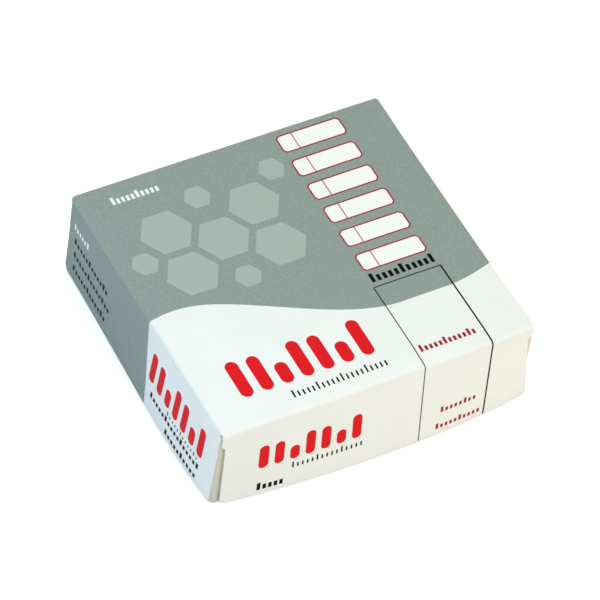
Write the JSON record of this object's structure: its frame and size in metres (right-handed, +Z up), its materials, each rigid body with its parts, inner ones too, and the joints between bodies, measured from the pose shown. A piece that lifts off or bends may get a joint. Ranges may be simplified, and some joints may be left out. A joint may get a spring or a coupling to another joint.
{
  "type": "box of microscope slides",
  "caption": "Flat hinged-lid paperboard box with a full-depth lid and a bowed front flap, filled with ground-edge glass microscope slides standing on edge.",
  "frame": {"origin": "on the bench plane, under the middle of the folded box's width and of its folded depth", "axes": "+Z up, +Y to the hinge crease, -Y to the front flap, +X along the hinge crease"},
  "size_m": [0.0914, 0.0856, 0.0264],
  "materials": {
    "printed_board": "semi-matte coated paperboard, printed grey and white",
    "tray_board": "uncoated white-lined paperboard",
    "slide_glass": "clear polished soda-lime glass with finely ground edges"
  },
  "bodies": {
    "tray": {"tray": "tray_board", "slide_pair_01": "slide_glass", "slide_pair_02": "slide_glass", "slide_pair_03": "slide_glass", "slide_pair_04": "slide_glass", "slide_pair_05": "slide_glass", "slide_pair_06": "slide_glass", "slide_pair_07": "slide_glass", "slide_pair_08": "slide_glass", "slide_pair_09": "slide_glass", "slide_pair_10": "slide_glass", "slide_pair_11": "slide_glass", "slide_pair_12": "slide_glass", "slide_pair_13": "slide_glass", "slide_pair_14": "slide_glass", "slide_pair_15": "slide_glass", "slide_pair_16": "slide_glass", "slide_pair_17": "slide_glass", "slide_pair_18": "slide_glass", "slide_pair_19": "slide_glass", "slide_pair_20": "slide_glass", "slide_pair_21": "slide_glass", "slide_pair_22": "slide_glass", "slide_pair_23": "slide_glass", "slide_pair_24": "slide_glass", "slide_pair_25": "slide_glass", "slide_pair_26": "slide_glass", "slide_pair_27": "slide_glass", "slide_pair_28": "slide_glass", "slide_pair_29": "slide_glass", "slide_pair_30": "slide_glass", "slide_pair_31": "slide_glass", "slide_pair_32": "slide_glass", "slide_pair_33": "slide_glass", "slide_pair_34": "slide_glass", "slide_pair_35": "slide_glass", "slide_pair_36": "slide_glass"},
    "lid": {"lid": "printed_board"}
  },
  "joints": [
    {"name": "lid_hinge", "type": "hinge", "parent": "tray", "child": "lid", "pos_m": [0, 0.041, 0.0264], "axis": [-1, 0, 0], "range_deg": [0, 195]}
  ]
}
